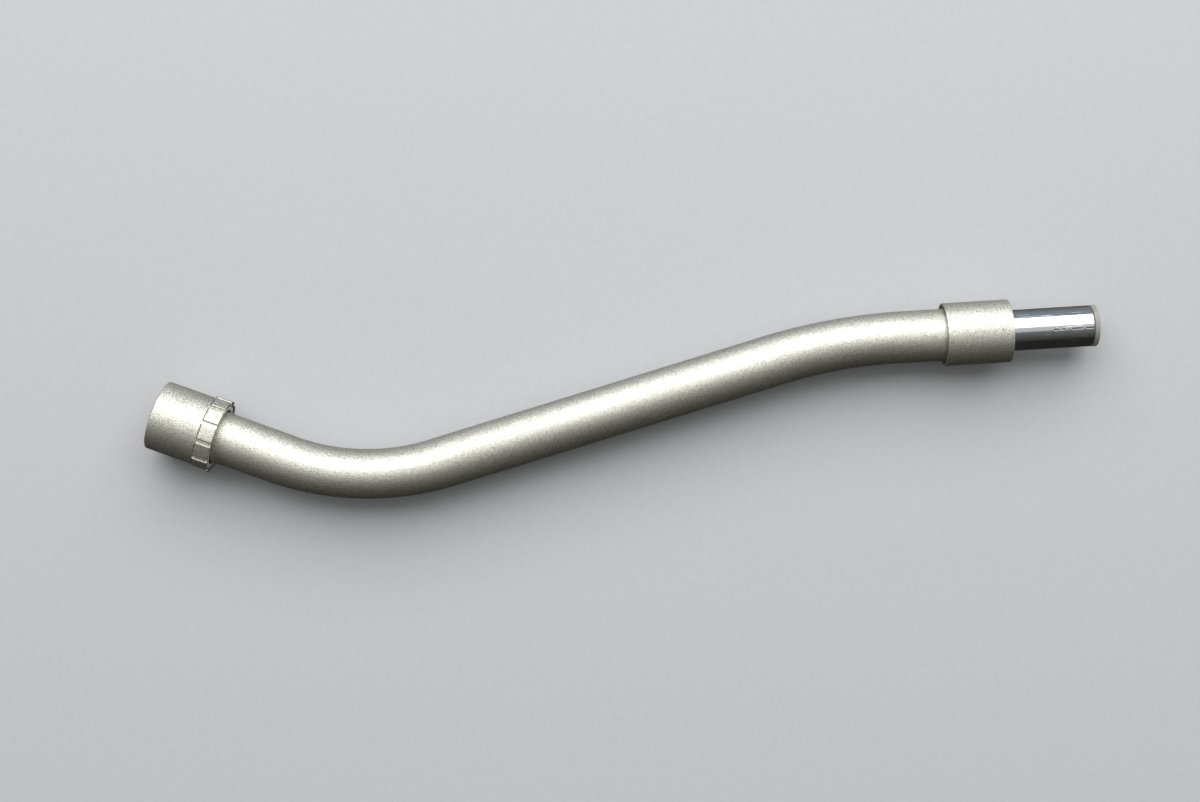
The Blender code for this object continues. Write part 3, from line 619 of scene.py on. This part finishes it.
def cam_track():
    """The helical part of the bayonet cam, as a closed band to cut away."""
    inner = SLEEVE_BORE_R - CUT_OVER
    verts = []
    for step in range(CAM_STEPS + 1):
        angle = -CAM_TURN * step / CAM_STEPS
        z = CAM_START + CAM_PULL * step / CAM_STEPS
        for r, h in ((inner, -1), (CAM_TRACK_R, -1), (CAM_TRACK_R, 1), (inner, 1)):
            verts.append((r * math.cos(angle), r * math.sin(angle), z + h * CAM_WIDTH / 2))
    faces = grid_faces(CAM_STEPS + 1, 4, wrap_rows=False)
    last = 4 * CAM_STEPS
    faces += [(0, 1, 2, 3), (last, last + 1, last + 2, last + 3)]
    return mesh_from("cam_track", verts, faces)


def make_sleeve():
    columns, rows = grip_columns(), sleeve_rows()
    verts = []
    for z, radius, drop in rows:
        for angle, column_drop in columns:
            r = radius if drop is None else grip_radius(angle, column_drop, drop, radius)
            verts.append((r * math.cos(angle), r * math.sin(angle), z))
    faces = grid_faces(len(rows), len(columns))
    sleeve = new_object("sleeve", mesh_from("sleeve", verts, faces), SOCKET)
    half = KEY_SLOT_WIDTH / 2
    entry = box_mesh((SLEEVE_BORE_R - CUT_OVER, -half, -CUT_OVER), (CAM_ENTRY_R, half, CAM_START))
    cut_with(sleeve, [entry, cam_track()])
    finish_piece(sleeve, SATIN, "sleeve", "satin_silver", "locking_sleeve")


# ---- headshell socket -------------------------------------------------------------------------

SOCKET_BORE_R = 4.05 * MM
SOCKET_CHAMFER = 0.3 * MM
SOCKET_BARREL_R = 5.2 * MM
SOCKET_BARREL_LENGTH = 8.3 * MM
SOCKET_NECK_R = 4.6 * MM
SOCKET_NECK_END = 11.35 * MM
SOCKET_BORE_DEPTH = 10.6 * MM
SOCKET_LENGTH = 15.5 * MM
SOCKET_REAR_R = 4.05 * MM
SOCKET_REAR_BORE_R = 3.4 * MM
KEY_SLOT_CENTRE = 4.3 * MM              # of its rounded end
CLIP_GROOVE = (9.85 * MM, 10.35 * MM)
CLIP_GROOVE_R = 4.38 * MM
CLIP_FACES = (9.9 * MM, 10.3 * MM)
CLIP_R = (4.45 * MM, 5.75 * MM)
CLIP_GAP = ((-7 * MM, -1.1 * MM, 9 * MM), (-3.4 * MM, 1.1 * MM, 11 * MM))   # box cut out of the ring
WAVE_WASHER_R = (4.7 * MM, 5.6 * MM)
WAVE_WASHER_MIDDLE = 9.525 * MM
WAVE_WASHER_THICKNESS = 0.14 * MM
WAVE_HEIGHT = 0.1 * MM
WAVES = 3
DUST_WASHER_R = (5.3 * MM, 5.95 * MM)
DUST_WASHER_FACES = (11.5 * MM, 12.05 * MM)


def make_socket_body():
    bore, barrel, neck, rear = SOCKET_BORE_R, SOCKET_BARREL_R, SOCKET_NECK_R, SOCKET_REAR_R
    outline = [
        (bore + SOCKET_CHAMFER, 0), (barrel, 0), (barrel, SOCKET_BARREL_LENGTH),
        (neck, SOCKET_BARREL_LENGTH), (neck, CLIP_GROOVE[0]), (CLIP_GROOVE_R, CLIP_GROOVE[0]),
        (CLIP_GROOVE_R, CLIP_GROOVE[1]), (neck, CLIP_GROOVE[1]), (neck, SOCKET_NECK_END),
        (rear, SOCKET_NECK_END), (rear, SOCKET_LENGTH), (SOCKET_REAR_BORE_R, SOCKET_LENGTH),
        (SOCKET_REAR_BORE_R, SOCKET_BORE_DEPTH), (bore, SOCKET_BORE_DEPTH), (bore, SOCKET_CHAMFER),
    ]
    body = turned("socket_insert", outline, SOCKET, fillet=0.06 * MM)
    half = KEY_SLOT_WIDTH / 2
    slot = box_mesh((bore - CUT_OVER, -half, -CUT_OVER), (barrel + CUT_OVER, half, KEY_SLOT_CENTRE))
    across = Matrix.Translation((0, 0, KEY_SLOT_CENTRE)) @ Matrix.Rotation(math.pi / 2, 4, "Y")
    slot_end = rod_mesh(half, bore - CUT_OVER, barrel + CUT_OVER, across)
    cut_with(body, [slot, slot_end])
    finish_piece(body, PLATING, "arm", "socket_plating", "socket_body")


def flat_ring(name, radii, faces, fillet):
    """A plain ring on the socket's axis, between two radii and two faces."""
    (inner, outer), (front, back) = radii, faces
    outline = [(outer, back), (outer, front), (inner, front), (inner, back)]
    return turned(name, outline, SOCKET, fillet=fillet)


def make_rings():
    (inner, outer), half = WAVE_WASHER_R, WAVE_WASHER_THICKNESS / 2
    verts = []
    for k in range(ROUND):
        angle = 2 * math.pi * k / ROUND
        z = WAVE_WASHER_MIDDLE + WAVE_HEIGHT * math.cos(WAVES * angle)
        for r, side in ((inner, -1), (outer, -1), (outer, 1), (inner, 1)):
            verts.append((r * math.cos(angle), r * math.sin(angle), z + side * half))
    washer = new_object("washer", mesh_from("washer", verts, grid_faces(ROUND, 4)), SOCKET)
    smooth(washer)
    finish_piece(washer, STEEL, "arm", "spring_steel", "wave_washer")

    clip = flat_ring("snap_ring", CLIP_R, CLIP_FACES, 0.06 * MM)
    cut_with(clip, [box_mesh(*CLIP_GAP)])
    finish_piece(clip, STEEL, "arm", "spring_steel", "retaining_ring")

    dust_washer = flat_ring("nylon_washer", DUST_WASHER_R, DUST_WASHER_FACES, 0.08 * MM)
    finish_piece(dust_washer, NYLON, "sleeve", "washer_nylon", "dust_washer")


CONTACT_COUNT = 4
CONTACT_PITCH_R = 1.9 * MM
CONTACT_FACE = 9.85 * MM                # the insulator's front face
INSULATOR_FRONT_R = 3.9 * MM
INSULATOR_STEP = 10.45 * MM
INSULATOR_R = 3.25 * MM
INSULATOR_END = 14.5 * MM
INSULATOR_HOLE_R = 0.9 * MM
BARREL_R = 0.8 * MM
BARREL_BORE_R = 0.68 * MM
BARREL_MOUTH_R = 0.58 * MM
BARREL_LIP_END = 10.05 * MM
BARREL_FLOOR = 13.6 * MM
BARREL_END = 13.9 * MM
TAIL_R = 0.35 * MM
TAIL_END = 16.0 * MM
PIN_R = 0.48 * MM
PIN_TIP = 8.85 * MM
PIN_DOME_STEPS = 8
PIN_FLANGE_R = 0.58 * MM
PIN_FLANGE = (10.15 * MM, 10.45 * MM)


def contact_spots():
    """Local (x, y) of the contacts on their pitch circle."""
    angles = [2 * math.pi * (k + 0.5) / CONTACT_COUNT for k in range(CONTACT_COUNT)]
    return [(CONTACT_PITCH_R * math.cos(a), CONTACT_PITCH_R * math.sin(a)) for a in angles]


def make_front_contacts():
    outline = [(0, INSULATOR_END), (INSULATOR_R, INSULATOR_END), (INSULATOR_R, INSULATOR_STEP),
               (INSULATOR_FRONT_R, INSULATOR_STEP), (INSULATOR_FRONT_R, CONTACT_FACE), (0, CONTACT_FACE)]
    insulator = turned("contact_block", outline, SOCKET, fillet=0.08 * MM)
    holes = [rod_mesh(INSULATOR_HOLE_R, CONTACT_FACE - CUT_OVER, INSULATOR_END + CUT_OVER,
                      Matrix.Translation((x, y, 0))) for x, y in contact_spots()]
    cut_with(insulator, holes)
    finish_piece(insulator, BLACK, "arm", "insulator_black", "front_insulator")

    barrel_outline = [
        (0, TAIL_END), (TAIL_R, TAIL_END), (TAIL_R, BARREL_END), (BARREL_R, BARREL_END),
        (BARREL_R, CONTACT_FACE), (BARREL_MOUTH_R, CONTACT_FACE), (BARREL_MOUTH_R, BARREL_LIP_END),
        (BARREL_BORE_R, BARREL_LIP_END), (BARREL_BORE_R, BARREL_FLOOR), (0, BARREL_FLOOR),
    ]
    dome = []
    for k in range(PIN_DOME_STEPS + 1):
        a = math.pi / 2 * k / PIN_DOME_STEPS
        dome.append((PIN_R * math.sin(a), PIN_TIP + PIN_R * (1 - math.cos(a))))
    pin_outline = dome + [(PIN_R, PIN_FLANGE[0]), (PIN_FLANGE_R, PIN_FLANGE[0]),
                          (PIN_FLANGE_R, PIN_FLANGE[1]), (0, PIN_FLANGE[1])]
    for number, (x, y) in enumerate(contact_spots(), 1):
        at = (x, y, 0)
        barrel = turned(f"contact_tube_{number}", barrel_outline, SOCKET, SMALL_ROUND, 0.03 * MM, at)
        finish_piece(barrel, BRASS, "arm", "brass", f"contact_barrel_{number}")
        pin = turned(f"spring_pin_{number}", pin_outline, SOCKET, SMALL_ROUND, 0, at)
        finish_piece(pin, GOLD, f"contact_{number}", "gold_plate", f"contact_pin_{number}")


# ---- collar and plug --------------------------------------------------------------------------

COLLAR_R = 5.75 * MM
COLLAR_LENGTH = 12.0 * MM
COLLAR_SHOULDER = 3.7 * MM              # depth of the plug's hole in the collar's end
COLLAR_BORE_R = 4.9 * MM
COLLAR_MOUTH_R = 3.9 * MM
COLLAR_RELIEF = (5.35 * MM, 0.8 * MM)   # radius and depth of the counterbore round the tube
COLLAR_EDGE = 0.05 * MM
COLLAR_ROUNDING = 0.14 * MM
COLLAR_ROUNDING_STEPS = 8
SCREW_AT = -8.0 * MM
SCREW_R = 1.25 * MM
SCREW_HOLE_R = 1.35 * MM
SCREW_ENDS = (4.85 * MM, 5.6 * MM)      # distance of its ends from the plug's axis
HEXAGON_R = 0.62 * MM
HEXAGON_FLOOR = 5.2 * MM
PLUG_R = 3.75 * MM
PLUG_BORE_R = 3.2 * MM
PLUG_LENGTH = 15.0 * MM
PLUG_ROOT = (4.0 * MM, 10.0 * MM)       # where the thicker root starts and ends inside the collar
PLUG_ROOT_R = 4.05 * MM
KEY_PIN_AT = 5.5 * MM
KEY_PIN_R = 0.7 * MM
KEY_PIN_HOLE_R = 0.8 * MM
KEY_PIN_ENDS = (3.25 * MM, 4.75 * MM)
TIP_R = 3.8 * MM
TIP_END = 16.0 * MM
TIP_RIM = 15.1 * MM                     # front of the insulator's rim
TIP_STEM_R = 3.05 * MM
TIP_STEM_END = 7.5 * MM
REAR_CONTACT_R = 0.7 * MM
REAR_CONTACT_FACE = 15.95 * MM
REAR_CONTACT_END = 6.2 * MM
REAR_TAIL_END = 4.2 * MM
REAR_HOLE_R = 0.8 * MM


def downward(along):
    """A frame on the plug's axis whose own +Z points straight down."""
    return Matrix.Translation((0, 0, along)) @ Matrix.Rotation(-math.pi / 2, 4, "Y")


def make_collar():
    relief_r, relief_depth = COLLAR_RELIEF
    outline = [(COLLAR_R, -COLLAR_EDGE)]
    for k in range(COLLAR_ROUNDING_STEPS + 1):
        a = math.pi / 2 * k / COLLAR_ROUNDING_STEPS
        outline.append((COLLAR_R - COLLAR_ROUNDING * (1 - math.cos(a)),
                        -COLLAR_LENGTH + COLLAR_ROUNDING * (1 - math.sin(a))))
    outline += [
        (relief_r, -COLLAR_LENGTH), (relief_r, -COLLAR_LENGTH + relief_depth),
        (COLLAR_BORE_R, -COLLAR_LENGTH + relief_depth), (COLLAR_BORE_R, -COLLAR_SHOULDER),
        (COLLAR_MOUTH_R, -COLLAR_SHOULDER), (COLLAR_MOUTH_R, 0), (COLLAR_R - COLLAR_EDGE, 0),
    ]
    collar = turned("collar", outline, PLUG, fillet=COLLAR_EDGE)
    hole = rod_mesh(SCREW_HOLE_R, PLUG_BORE_R, COLLAR_R + CUT_OVER, downward(SCREW_AT))
    cut_with(collar, [hole])
    finish_piece(collar, SATIN, "arm", "satin_silver", "rear_collar")

    inner, outer = SCREW_ENDS
    shape = [(0, outer), (SCREW_R, outer), (SCREW_R, inner), (0, inner)]
    screw = turned("grub_screw", shape, PLUG @ downward(SCREW_AT), SMALL_ROUND, 0.1 * MM)
    cut_with(screw, [rod_mesh(HEXAGON_R, HEXAGON_FLOOR, outer + CUT_OVER, steps=6)])
    finish_piece(screw, STEEL, "arm", "spring_steel", "collar_screw")


def make_plug():
    root_start, root_end = PLUG_ROOT
    outline = [(PLUG_R, PLUG_LENGTH), (PLUG_R, -root_start), (PLUG_ROOT_R, -root_start),
               (PLUG_ROOT_R, -root_end), (PLUG_BORE_R, -root_end), (PLUG_BORE_R, PLUG_LENGTH)]
    plug = turned("plug", outline, PLUG, fillet=0.16 * MM)
    hole = rod_mesh(KEY_PIN_HOLE_R, PLUG_BORE_R - CUT_OVER, PLUG_R + CUT_OVER, downward(KEY_PIN_AT))
    cut_with(plug, [hole])
    finish_piece(plug, CHROME, "arm", "polished_chrome", "plug_sleeve")

    inner, outer = KEY_PIN_ENDS
    shape = [(0, outer), (KEY_PIN_R, outer), (KEY_PIN_R, inner), (0, inner)]
    pin = turned("azimuth_pin", shape, PLUG @ downward(KEY_PIN_AT), SMALL_ROUND, 0.3 * MM)
    finish_piece(pin, STEEL, "arm", "spring_steel", "key_pin")


def make_tip():
    outline = [(0, TIP_END), (TIP_R, TIP_END), (TIP_R, TIP_RIM), (TIP_STEM_R, TIP_RIM),
               (TIP_STEM_R, TIP_STEM_END), (0, TIP_STEM_END)]
    tip = turned("tip_insulator", outline, PLUG, fillet=0.2 * MM)
    spots = contact_spots() + [(0, 0)]
    cut_with(tip, [rod_mesh(REAR_HOLE_R, TIP_STEM_END - CUT_OVER, TIP_END + CUT_OVER,
                            Matrix.Translation((x, y, 0))) for x, y in spots])
    finish_piece(tip, WHITE, "arm", "insulator_white", "rear_insulator")
    shape = [(0, REAR_CONTACT_FACE), (REAR_CONTACT_R, REAR_CONTACT_FACE),
             (REAR_CONTACT_R, REAR_CONTACT_END), (TAIL_R, REAR_CONTACT_END), (TAIL_R, REAR_TAIL_END),
             (0, REAR_TAIL_END)]
    for number, (x, y) in enumerate(spots, 1):
        contact = turned(f"plug_contact_{number}", shape, PLUG, SMALL_ROUND, 0.08 * MM, (x, y, 0))
        finish_piece(contact, GOLD, "arm", "gold_plate", f"rear_contact_{number}")


# ---- pieces kept from the CAD ------------------------------------------------------------------

def dress_hidden_nodes():
    """Springs, tag and leads are hidden inside and right as they are: they get their materials."""
    kept = {f"contact_spring_{k + 1}": STEEL for k in range(CONTACT_COUNT)}
    kept["ground_tag"] = BRASS
    kept["ground_wire"] = WIRE_MATERIALS["black"]
    for colour in SIGNAL_COLOURS:
        kept[f"signal_wire_{colour}"] = WIRE_MATERIALS[colour]
    for name, material in kept.items():
        mesh = frame["nodes"][name].data
        mesh.materials.clear()
        mesh.materials.append(material)


# ---- camera, light and floor -------------------------------------------------------------------

CAMERA_HEIGHT = 340 * MM                # above the tube's axis
CAMERA_LENS = 55.6                      # millimetres
CAMERA_OVER = (-75.5 * MM, -8.3 * MM)   # from the shoulder, along the plug's axis and to its left
CAMERA_TURN = math.radians(-3.5)        # picture's x axis against the plug's axis
SENSOR_WIDTH = 36                       # millimetres
NEAR_CLIP = 0.01
FLOOR_HALF_WIDTH = 4.0
SKY_LEAN = (0.8, 0.6)                   # shares of picture-up and straight up in the sky's own axis
SKY_RANGE = (-0.6, 0.8)                 # where along that axis the fade starts and ends
# (place along the fade, colour)
SKY = ((0.0, (0.024, 0.024, 0.021)), (0.25, (0.09, 0.09, 0.083)), (0.5, (0.155, 0.157, 0.152)),
       (1.0, (0.30, 0.34, 0.39)))


def make_camera():
    across = Matrix.Rotation(CAMERA_TURN, 3, "Z") @ PLUG_DIRECTION
    aim = SHOULDER + PLUG_DIRECTION * CAMERA_OVER[0] + left_of(PLUG_DIRECTION) * CAMERA_OVER[1]
    data = bpy.data.cameras.new("camera")
    data.lens = CAMERA_LENS
    data.sensor_width = SENSOR_WIDTH
    data.clip_start = NEAR_CLIP
    camera = bpy.data.objects.new("camera", data)
    rotation = Matrix((across, left_of(across), UP)).transposed()
    camera.matrix_world = Matrix.Translation(aim + UP * CAMERA_HEIGHT) @ rotation.to_4x4()
    bpy.context.scene.collection.objects.link(camera)
    bpy.context.scene.camera = camera
    return across, aim


def softbox(name, aim, towards, elevation, distance, size, power, colour):
    """A rectangular light that faces aim from a compass direction and an elevation in degrees."""
    data = bpy.data.lights.new(name, "AREA")
    data.shape = "RECTANGLE"
    data.size, data.size_y = size
    data.energy = power
    data.color = colour
    light = bpy.data.objects.new(name, data)
    lift = math.radians(elevation)
    away = towards.normalized() * math.cos(lift) + UP * math.sin(lift)
    side = left_of(towards.normalized()) * -1
    rotation = Matrix((side, away.cross(side), away)).transposed()
    light.matrix_world = Matrix.Translation(aim + away * distance) @ rotation.to_4x4()
    light.visible_camera = False
    bpy.context.scene.collection.objects.link(light)


def make_world(picture_up):
    """Faint surroundings that fade, and lose their blue, from the key light's side to the far side."""
    world = bpy.data.worlds.new("studio")
    world.use_nodes = True
    tree = world.node_tree
    direction = tree.nodes.new("ShaderNodeTexCoord").outputs["Generated"]
    towards = tree.nodes.new("ShaderNodeVectorMath")
    towards.operation = "DOT_PRODUCT"
    tree.links.new(direction, towards.inputs[0])
    towards.inputs[1].default_value = (picture_up * SKY_LEAN[0] + UP * SKY_LEAN[1]).normalized()
    share = tree.nodes.new("ShaderNodeMapRange")
    tree.links.new(towards.outputs["Value"], share.inputs["Value"])
    share.inputs["From Min"].default_value = SKY_RANGE[0]
    share.inputs["From Max"].default_value = SKY_RANGE[1]
    ramp = tree.nodes.new("ShaderNodeValToRGB")
    tree.links.new(share.outputs["Result"], ramp.inputs["Fac"])
    elements = ramp.color_ramp.elements
    for place, _ in SKY[1:-1]:
        elements.new(place)
    for element, (_, colour) in zip(elements, SKY):
        element.color = (*colour, 1)
    tree.links.new(ramp.outputs["Color"], tree.nodes["Background"].inputs["Color"])
    bpy.context.scene.world = world


def make_studio(across, aim):
    """Soft lights round aim, faint surroundings and a plain floor. Sizes of lights are in metres."""
    picture_up = left_of(across)
    lights = (
        ("key", picture_up, 49.3, 0.80, (1.3, 0.83), 3.8, (0.96, 0.975, 1.0)),
        ("top", picture_up, 89.9, 0.90, (1.6, 0.42), 0.45, (1.0, 0.97, 0.93)),
        ("left", -across, 24, 0.90, (0.8, 0.5), 0.2, (1.0, 0.98, 0.94)),
        ("right", across, 24, 0.90, (0.8, 0.5), 0.2, (1.0, 0.96, 0.90)),
    )
    for name, towards, elevation, distance, size, radiance, colour in lights:
        power = radiance * math.pi * size[0] * size[1]
        softbox(name, aim, towards, elevation, distance, size, power, colour)
    make_world(picture_up)
    bpy.context.scene.view_settings.view_transform = "Standard"

    bm = bmesh.new()
    bmesh.ops.create_grid(bm, x_segments=8, y_segments=8, size=FLOOR_HALF_WIDTH)
    mesh = bpy.data.meshes.new("floor")
    bm.to_mesh(mesh)
    bm.free()
    floor = new_object("floor", mesh)
    n = Nodes("paper")
    fibres = n.noise(1 / (1.1 * MM), detail=5, roughness=0.65)
    n.set(Base_Color=n.colours(fibres, (0.3, (0.44, 0.44, 0.436)), (0.7, (0.465, 0.465, 0.46))),
          Roughness=0.9, Normal=n.bump(fibres, 0.03 * MM, 0.2))
    floor.data.materials.append(n.material)
    floor.visible_glossy = False


# ---- assembly ----------------------------------------------------------------------------------

across, aim = make_camera()
make_studio(across, aim)
make_tube()
make_sleeve()
make_socket_body()
make_rings()
make_front_contacts()
make_collar()
make_plug()
make_tip()
dress_hidden_nodes()
